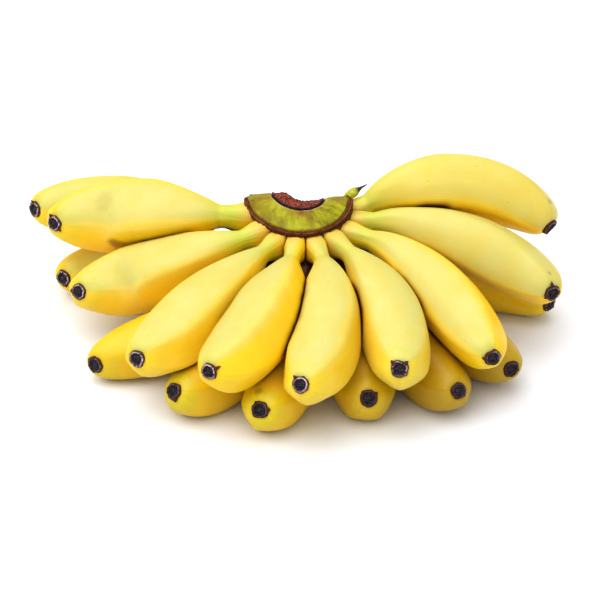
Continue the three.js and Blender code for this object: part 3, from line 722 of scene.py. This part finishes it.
# the pit is near black; its palest crumbs are painted glints
pitAndGlints = addNode(dryBlossom, "ShaderNodeValToRGB", {0: crumbs.outputs[0]},
               stops=[(0.44, "#0c080b"), (0.55, "#241822"), (0.63, "#584656"), (0.74, "#b6a6b8")])
pale = addNode(dryBlossom, "ShaderNodeValToRGB", {0: crumbs.outputs[0]},
               stops=[(0.35, "#96767a"), (0.5, "#d2bac0"), (0.7, "#f4e6ea")])
rimmed = addNode(dryBlossom, "ShaderNodeMix",
                 {0: lipNode.outputs["Fac"], 6: colour("#35180f"), 7: pale.outputs[0]}, data_type="RGBA")
pitted = addNode(dryBlossom, "ShaderNodeMix",
                 {0: pitNode.outputs["Fac"], 6: rimmed.outputs[2], 7: pitAndGlints.outputs[0]}, data_type="RGBA")
reddened = addNode(dryBlossom, "ShaderNodeMix",
                   {0: redNode.outputs["Fac"], 6: pitted.outputs[2], 7: colour("#4c1b10")}, data_type="RGBA")
blossomBump = addNode(dryBlossom, "ShaderNodeBump",
                      {"Height": crumbs.outputs[0], "Strength": 0.6, "Distance": 0.2 * mm})
blossomShader = addNode(dryBlossom, "ShaderNodeBsdfPrincipled", {
    "Base Color": reddened.outputs[2], "Roughness": 0.6, "IOR": 1.45, "Normal": blossomBump.outputs[0]})
addNode(dryBlossom, "ShaderNodeOutputMaterial", {0: blossomShader.outputs[0]})

for seed, finger in enumerate(fingers):
    makeBlossomEnd(finger, seed)
print("blossom ends made")


# outlines of (radius, height over the bract scar), at the middle of the fan and at its two ends
crown = {
    "middle": [(13.9, 6.0), (19.2, 5.0), (24.6, 1.9), (24.6, -0.9), (27.4, -1.8), (27.4, -24), (22, -29),
               (16, -28), (13.9, -22)],
    "ends": [(13.9, 1.3), (19.2, 0.8), (24.6, -0.6), (24.6, -1.0), (27.4, -1.8), (27.4, -22), (22, -25),
             (16, -24), (13.9, -20)],
    "splits": (12, 12, 3, 4, 14, 6, 6, 6, 14), "steps": 200,
    "topPoints": 24,                     # the outline's first points lie on the crown's upper face
    "fibre": 0.13, "fibreSizes": (1.1, 5),   # depth; sizes across and along
    "wave": 0.3, "waveSizes": (4, 6),        # of the broader waves, likewise
    "sunk": 0.15,                        # the face lies this much lower between its fibres
    "grainReach": 20,                    # radius at which these sizes are true
    "grainDrawn": 0.55,                  # width over length of the mottling, which runs along the fibres
    "rims": [(14.5, 0.45, 0.8), (24.3, 0.35, 0.25)],     # pale rims: radius, width and paleness
    "rimPatches": (0.6, 1.2),            # mean and unevenness of that paleness
    # brown stains: strength, then fan turn and spread, then radius and spread
    "cutStain": (1.6, 82, 18, 15.5, 3.5),
    "endStain": (0.9, -10, 9), "swollenStain": 0.8,
    "blotchStain": 0.5, "blotchSizes": (5, 4.5), "blotches": (0, 0.35),
    "flank": (25.0, 26.5),               # radii between which the face passes into the flank, which is painted dark as shade
    "swollenFrom": (15, 23),             # radii between which the swelling of the -X end sets in
    "middleTurn": 90, "toEnds": 102,     # from the middle, over this fan turn, the ends' outline takes over
    "endsPower": 4,
}


def finer(outline, splits):
    # the same outline with each side split into equal steps
    out = []
    for k, (count, a) in enumerate(zip(splits, outline)):
        b = outline[(k + 1) % len(outline)]
        out += [(mix(a[0], b[0], i / count), mix(a[1], b[1], i / count)) for i in range(count)]
    return np.array(out)


def rounded(outline, rounds=2):
    for _ in range(rounds):
        outline = (np.roll(outline, 1, axis=0) + 2 * outline + np.roll(outline, -1, axis=0)) / 4
    return outline


def sweepRound(turns, steps, middle, ends):
    # fan turn, radius and height of each point, for outlines that stand round the crown's axis
    turn = np.linspace(turns[0], turns[1], steps + 1)[:, None]
    away = ((turn - crown["middleTurn"]) / crown["toEnds"]) ** crown["endsPower"]
    reach = mix(middle[None, :, 0], ends[None, :, 0], away)
    height = mix(middle[None, :, 1], ends[None, :, 1], away)
    turn = np.broadcast_to(turn, reach.shape)
    return turn, reach, height


def streaks(seed, *places, size=1):
    # smooth noise over places that are given in the sizes of its bumps
    return ripple(np.stack(np.broadcast_arrays(*places), axis=-1), size, seed)


def onCrown(turn, reach, height):
    # places on the tipped crown at fan turns, radii and heights over the bract scar
    radians = np.radians(turn)
    share = reach / hand["ringRadius"]
    tipping = hand["ringRise"] * (1 - np.sin(radians) * share)
    lean = -hand["lean"] * np.cos(radians) * (1 - share)
    return np.stack([axis[0] + np.cos(radians) * reach - hand["shift"] * (1 - share)
                     - swollen(turn) * smoothStep(reach, *crown["swollenFrom"]),
                     axis[1] - np.sin(radians) * reach,
                     hand["ringHeight"] + tipping + lean + height], axis=-1)


# Banana crown, green tissue with long fibres that run out to the stems: satin, mottled from olive to green,
# stained brown near the cut.
crownSkin = newMaterial("banana crown, fibrous green")
grainNode = addNode(crownSkin, "ShaderNodeAttribute", attribute_name="grain")
rimNode = addNode(crownSkin, "ShaderNodeAttribute", attribute_name="rim")
stainNode = addNode(crownSkin, "ShaderNodeAttribute", attribute_name="stain")
flankNode = addNode(crownSkin, "ShaderNodeAttribute", attribute_name="flank")
mottle = addNode(crownSkin, "ShaderNodeTexNoise",     # mottling 5 mm wide, drawn out along the fibres
                 {"Vector": grainNode.outputs["Vector"], "Scale": 1 / 5, "Detail": 4, "Roughness": 0.7})
green = addNode(crownSkin, "ShaderNodeValToRGB", {0: mottle.outputs[0]},
                stops=[(0.3, "#6d630b"), (0.42, "#8c8612"), (0.55, "#9f9d1a"), (0.72, "#b8b52d")])
stainMottle = addNode(crownSkin, "ShaderNodeMath", {0: stainNode.outputs["Fac"], 1: mottle.outputs[0]},
                      operation="MULTIPLY", use_clamp=True)
stained = addNode(crownSkin, "ShaderNodeMix",
                  {0: stainMottle.outputs[0], 6: green.outputs[0], 7: colour("#81541a")}, data_type="RGBA")
rimmed = addNode(crownSkin, "ShaderNodeMix",
                 {0: rimNode.outputs["Fac"], 6: stained.outputs[2], 7: colour("#c2a38c")}, data_type="RGBA")
# painted shade: the flank, seen in the gaps between the stems, is dark
flanked = addNode(crownSkin, "ShaderNodeMix",
                  {0: flankNode.outputs["Fac"], 6: rimmed.outputs[2], 7: colour("#543b12")}, data_type="RGBA")
crownBump = addNode(crownSkin, "ShaderNodeBump",
                    {"Height": mottle.outputs[0], "Strength": 0.5, "Distance": 0.25 * mm})
crownShader = addNode(crownSkin, "ShaderNodeBsdfPrincipled", {
    "Base Color": flanked.outputs[2], "Roughness": 0.5, "IOR": 1.45, "Specular IOR Level": 0.25,
    "Normal": crownBump.outputs[0]})
addNode(crownSkin, "ShaderNodeOutputMaterial", {0: crownShader.outputs[0]})


def makeCrown():
    middle = rounded(finer(crown["middle"], crown["splits"]))
    ends = rounded(finer(crown["ends"], crown["splits"]))
    turn, reach, height = sweepRound(hand["crownTurns"], crown["steps"], middle, ends)
    arc = np.radians(turn) * crown["grainReach"]
    across, long = crown["fibreSizes"]
    fibres = streaks(3, arc / across, reach / long, height / long)
    across, long = crown["waveSizes"]
    waves = streaks(5, arc / across, reach / long, height / long)
    onTop = np.broadcast_to((np.arange(reach.shape[1]) < crown["topPoints"])[None, :], reach.shape)
    height = height + np.where(onTop, crown["fibre"] * fibres + crown["wave"] * waves - crown["sunk"], 0)
    rings = onCrown(turn, reach, height)
    grain = np.stack([arc, reach * crown["grainDrawn"], height * crown["grainDrawn"]], axis=-1)
    mean, uneven = crown["rimPatches"]
    patchy = np.clip(mean + uneven * streaks(6, arc / across, 0, 0), 0, 1)
    rim = sum(hump(reach, place, width) * pale for place, width, pale in crown["rims"])
    # brown stains beside the cut, in blotches on the face, and at both ends
    strength, cutTurn, turnSpread, cutReach, reachSpread = crown["cutStain"]
    stain = strength * hump(turn, cutTurn, turnSpread) * hump(reach, cutReach, reachSpread)
    across, long = crown["blotchSizes"]
    blotches = streaks(14, arc / across, reach / long, 0)
    stain = stain + crown["blotchStain"] * smoothStep(blotches, *crown["blotches"])
    strength, endTurn, turnSpread = crown["endStain"]
    stain = (stain + crown["swollenStain"] * smoothStep(turn, *hand["swollenTurns"])
             + strength * hump(turn, endTurn, turnSpread))
    flank = np.broadcast_to(smoothStep(reach, *crown["flank"]), reach.shape)
    return makePiece("crown_skin", rings, crownSkin, ["crown"],
                     dict(grain=grain, rim=rim * patchy * onTop, stain=stain, flank=flank))


makeCrown()

scar = {
    "reach": 26.2, "height": 0.5, "wide": 1.2, "high": 1.3, "sides": 24, "steps": 260,
    "groove": (90, 20, 0.3),             # angle round the scar, width and depth, between its two lips
    "lips": [(55, 0.5), (130, 0.35)], "lipWidth": 16,    # angle and paleness of each lip: partly worn cork, partly a painted highlight
    "uneven": 0.12, "unevenPerDegree": 0.12,     # share of its size; bumps for a degree of fan turn
    "wornPerDegree": 0.15,               # likewise for the patches where its lips are worn
    "rough": 0.15, "roughSize": 0.8, "perDegree": 0.46,  # crumbs, and the ridge's length for a degree
    "taper": (3, 0.35),                  # it thins out at its ends over this fan turn, to this share
}

# Cork, grown over the scar of a shed leaf: matt, brown, lighter along each of its two lips, partly from wear
# and partly as a painted highlight.
scarCork = newMaterial("bract scar, brown cork")
grainNode = addNode(scarCork, "ShaderNodeAttribute", attribute_name="grain")
lipNode = addNode(scarCork, "ShaderNodeAttribute", attribute_name="lip")
corkGrain = addNode(scarCork, "ShaderNodeTexNoise",   # crumbs 0.7 mm wide
                    {"Vector": grainNode.outputs["Vector"], "Scale": 1 / 0.7, "Detail": 4, "Roughness": 0.7})
brown = addNode(scarCork, "ShaderNodeValToRGB", {0: corkGrain.outputs[0]},
                stops=[(0.35, "#311103"), (0.5, "#5a2706"), (0.7, "#874b1a")])
wornAndHighlit = addNode(scarCork, "ShaderNodeMix",
               {0: lipNode.outputs["Fac"], 6: brown.outputs[0], 7: colour("#a9815d")}, data_type="RGBA")
corkBump = addNode(scarCork, "ShaderNodeBump",
                   {"Height": corkGrain.outputs[0], "Strength": 0.7, "Distance": 0.3 * mm})
corkShader = addNode(scarCork, "ShaderNodeBsdfPrincipled", {
    "Base Color": wornAndHighlit.outputs[2], "Roughness": 0.7, "IOR": 1.45, "Specular IOR Level": 0.2,
    "Normal": corkBump.outputs[0]})
addNode(scarCork, "ShaderNodeOutputMaterial", {0: corkShader.outputs[0]})


def makeScar():
    firstTurn, lastTurn = hand["scarTurns"]
    turn = np.linspace(firstTurn, lastTurn, scar["steps"] + 1)[:, None]
    angle = -2 * math.pi * np.arange(scar["sides"])[None, :] / scar["sides"]
    clock = np.degrees(angle) % 360
    place, width, depth = scar["groove"]
    fatness = 1 + scar["uneven"] * streaks(2, turn * scar["unevenPerDegree"], 0, 0)
    thinning, thin = scar["taper"]
    ends = smoothStep(turn, firstTurn, firstTurn + thinning) * (
        1 - smoothStep(turn, lastTurn - thinning, lastTurn))
    size = (fatness - depth * hump(clock, place, width)) * mix(thin, 1, ends)
    around = (scar["wide"] * np.cos(angle), scar["wide"] * np.sin(angle))
    size = size + scar["rough"] * streaks(9, turn * scar["perDegree"], *around, size=scar["roughSize"])
    reach = scar["reach"] + scar["wide"] * size * np.cos(angle)
    height = scar["height"] + scar["high"] * size * np.sin(angle)
    rings = onCrown(np.broadcast_to(turn, reach.shape), reach, height)
    lip = sum(pale * hump(clock, place, scar["lipWidth"]) for place, pale in scar["lips"])
    patchy = np.clip(streaks(4, turn * scar["wornPerDegree"], 0, 0) + 0.5, 0, 1)
    return makePiece("scar_cork", rings, scarCork, ["bract_scar"],
                     dict(grain=rings, lip=lip * patchy))


makeScar()

# outlines as for the crown; the last side is the face that shows
cut = {
    "middle": [(13.6, 6.3), (13.6, -21), (8.4, -20), (5.4, -6), (5.2, 6.1)],
    "ends": [(13.6, 1.6), (13.6, -19), (11, -18), (10.4, -6), (10.6, 1.7)],
    "splits": (20, 8, 16, 14, 24), "steps": 160,
    "tear": 0.55, "fibreSizes": (1.4, 1, 3),     # how far fibres stand up; sizes round, out and up
    "grainReach": 10,                    # radius at which these sizes are true
    "grainHigh": 0.4,                    # the strands are drawn out downwards
    "rim": (0.9, 0.5, 1.2),              # the dried outer edge: width, height and darkness
    "inner": (0.7, 0.7),                 # the inner one: width and darkness
}

# Dried cut through the stalk: dark red-brown, matt, with the ends of fibres standing up and a black edge.
driedCut = newMaterial("dried cut, red-brown fibre")
grainNode = addNode(driedCut, "ShaderNodeAttribute", attribute_name="grain")
edgeNode = addNode(driedCut, "ShaderNodeAttribute", attribute_name="edge")
strands = addNode(driedCut, "ShaderNodeTexNoise",     # strands 0.9 mm wide
                  {"Vector": grainNode.outputs["Vector"], "Scale": 1 / 0.9, "Detail": 4, "Roughness": 0.7})
rust = addNode(driedCut, "ShaderNodeValToRGB", {0: strands.outputs[0]},
               stops=[(0.35, "#2b0c0c"), (0.48, "#6c2c1c"), (0.6, "#a55238"), (0.75, "#c28569")])
edged = addNode(driedCut, "ShaderNodeMix",
                {0: edgeNode.outputs["Fac"], 6: rust.outputs[0], 7: colour("#241016")}, data_type="RGBA")
cutBump = addNode(driedCut, "ShaderNodeBump",
                  {"Height": strands.outputs[0], "Strength": 0.8, "Distance": 0.4 * mm})
cutShader = addNode(driedCut, "ShaderNodeBsdfPrincipled", {
    "Base Color": edged.outputs[2], "Roughness": 0.8, "IOR": 1.45, "Normal": cutBump.outputs[0]})
addNode(driedCut, "ShaderNodeOutputMaterial", {0: cutShader.outputs[0]})


def makeCut():
    middle = rounded(finer(cut["middle"], cut["splits"]), 1)
    ends = rounded(finer(cut["ends"], cut["splits"]), 1)
    turn, reach, height = sweepRound(hand["crownTurns"], cut["steps"], middle, ends)
    arc = np.radians(turn) * cut["grainReach"]
    across, out, up = cut["fibreSizes"]
    fibres = streaks(11, arc / across, reach / out, height / up)
    onTop = np.broadcast_to((np.arange(reach.shape[1]) >= sum(cut["splits"][:-1]))[None, :], reach.shape)
    rimWidth, rimHeight, rimDark = cut["rim"]
    innerWidth, innerDark = cut["inner"]
    rim = hump(reach, reach.max(axis=1, keepdims=True), rimWidth)
    inner = hump(reach, reach.min(axis=1, keepdims=True), innerWidth)
    height = height + np.where(onTop, cut["tear"] * fibres + rimHeight * (rim - 1), 0)
    rings = onCrown(turn, reach, height)
    edge = np.clip(rim * rimDark + inner * innerDark * onTop, 0, 1)
    return makePiece("cut_face", rings, driedCut, ["stalk_cut"],
                     dict(grain=np.stack([arc, reach, height * cut["grainHigh"]], axis=-1), edge=edge))


makeCut()

# Skin of an unfilled finger: green-yellow and satin, dried black at its tip.
budSkin = newMaterial("unfilled finger, green skin")
dryNode = addNode(budSkin, "ShaderNodeAttribute", attribute_name="dry")
grainNode = addNode(budSkin, "ShaderNodeAttribute", attribute_name="grain")
budMottle = addNode(budSkin, "ShaderNodeTexNoise",    # mottling 1.5 mm wide
                    {"Vector": grainNode.outputs["Vector"], "Scale": 1 / 1.5, "Detail": 3})
budGreen = addNode(budSkin, "ShaderNodeValToRGB", {0: budMottle.outputs[0]},
                   stops=[(0.35, "#9b9d1b"), (0.65, "#c2b936")])
dried = addNode(budSkin, "ShaderNodeMix",
                {0: dryNode.outputs["Fac"], 6: budGreen.outputs[0], 7: colour("#262a16")}, data_type="RGBA")
budShader = addNode(budSkin, "ShaderNodeBsdfPrincipled", {
    "Base Color": dried.outputs[2], "Roughness": 0.5, "IOR": 1.45})
addNode(budSkin, "ShaderNodeOutputMaterial", {0: budShader.outputs[0]})

# turn, reach, depth: where one leaves the crown's end, as for a finger; bend: how far it runs straight out
# way: from there to its tip; dryFrom: share of its length from which it is dry
buds = {
    "aborted_finger_right": dict(turn=-14, reach=25, bend=2, depth=2.6, way=(10.8, 1.5, 6.4), dryFrom=0.72),
    "aborted_finger_left": dict(turn=192, reach=25, bend=4, depth=4, way=(-6, 0, -1), dryFrom=0.35),
}
budShape = {
    # radius at shares of the length: the dried tip is a thin stub
    "radius": [(0, 1.9), (0.25, 2.3), (0.5, 2.6), (0.66, 2.4), (0.74, 1.5), (0.84, 0.7), (1, 0.25)],
    "rings": 28, "sides": 24,
    "rooted": 0.6,                       # it starts this far inside the crown's end
    "dries": (-0.05, 0.06),              # shares of the length about dryFrom between which it dries
    "uneven": 0.15, "unevenSize": 1.2,
}


def makeBud(name, spec):
    # a curve that leaves the crown's end face squarely and bends to its own way
    out = heading(spec["turn"] - 90 if spec["turn"] < 90 else spec["turn"] + 90)
    start = axis + heading(spec["turn"]) * spec["reach"]
    start[2] = scarHeight(spec["turn"]) - spec["depth"]
    start = start - out * budShape["rooted"]
    bend = start + out * spec["bend"]
    end = bend + np.array(spec["way"])
    angle = 2 * math.pi * np.arange(budShape["sides"]) / budShape["sides"]
    dryStart, dryFull = spec["dryFrom"] + budShape["dries"][0], spec["dryFrom"] + budShape["dries"][1]
    rings, dry = [], []
    for t in np.linspace(0, 1, budShape["rings"]):
        middle = (1 - t) ** 2 * start + 2 * t * (1 - t) * bend + t ** 2 * end
        way = (1 - t) * (bend - start) + t * (end - bend)
        way /= np.linalg.norm(way)
        side = np.cross([0, 0, 1], way)
        side /= np.linalg.norm(side)
        top = np.cross(way, side)
        radius = np.interp(t, *zip(*budShape["radius"]))
        rings.append(middle + top * (radius * np.cos(angle))[:, None]
                     + side * (radius * np.sin(angle))[:, None])
        dry.append(np.full(budShape["sides"], smoothStep(t, dryStart, dryFull)))
    rings = np.array(rings)
    uneven = budShape["uneven"] * ripple(rings, budShape["unevenSize"], 7)
    rings += uneven[..., None] * np.array([0, 0, 1])
    return makePiece(f"{name}_skin", rings, budSkin, [name], dict(dry=np.array(dry), grain=rings))


for name, spec in buds.items():
    makeBud(name, spec)
print("crown, scar, cut and buds made")

studio = {
    "floorSize": 16000,
    "keyFrom": (-0.27, -0.14, 0.93),     # the bright part of the dome is overhead, a little to the left
    "keyEdge": 50, "keyCore": 12,        # degrees from its middle where it fades out, and where it is full
    "keyStrength": 2.6, "dome": 0.85,    # how much brighter it is than the rest of the dome
    "gamma": 0.83,                       # of the view: below 1 the shadows are deeper
}

# White paper, matt: it takes a soft shadow and shows nothing else.
paper = newMaterial("white paper, matt")
paperGrain = addNode(paper, "ShaderNodeTexNoise",     # faint clouds 40 mm wide
                     {"Scale": studio["floorSize"] / 40, "Detail": 2})
paperTone = addNode(paper, "ShaderNodeMix",
                    {0: paperGrain.outputs[0], 6: colour("#e3e5ec"), 7: colour("#e6e8ee")}, data_type="RGBA")
paperShader = addNode(paper, "ShaderNodeBsdfPrincipled", {
    "Base Color": paperTone.outputs[2], "Roughness": 0.9, "IOR": 1.45, "Specular IOR Level": 0.1})
addNode(paper, "ShaderNodeOutputMaterial", {0: paperShader.outputs[0]})

half = studio["floorSize"] / 2 * mm
floorMesh = bpy.data.meshes.new("floor")
corners = [(-half, -half, 0), (half, -half, 0), (half, half, 0), (-half, half, 0)]
floorMesh.from_pydata(corners, [], [(0, 1, 2, 3)])
floorMesh.materials.append(paper)
floor = bpy.data.objects.new("floor", floorMesh)
bpy.context.collection.objects.link(floor)

# a soft dome of light, brightest overhead, so the floor is as bright far away as it is near
world = bpy.data.worlds.new("studio dome")
world.use_nodes = True
world.node_tree.nodes.clear()
towards = addNode(world, "ShaderNodeTexCoord")
toKey = addNode(world, "ShaderNodeVectorMath", {
    0: towards.outputs["Generated"], 1: Vector(studio["keyFrom"]).normalized()}, operation="DOT_PRODUCT")
keyShare = addNode(world, "ShaderNodeMapRange", {
    0: toKey.outputs["Value"],
    1: math.cos(math.radians(studio["keyEdge"])), 2: math.cos(math.radians(studio["keyCore"])),
    3: studio["dome"], 4: studio["dome"] + studio["keyStrength"]}, interpolation_type="SMOOTHSTEP")
glow = addNode(world, "ShaderNodeBackground", {"Color": (1, 1, 1, 1), "Strength": keyShare.outputs[0]})
addNode(world, "ShaderNodeOutputWorld", {0: glow.outputs[0]})
bpy.context.scene.world = world
bpy.context.scene.view_settings.view_transform = "Standard"
bpy.context.scene.view_settings.gamma = studio["gamma"]
print("studio lit")
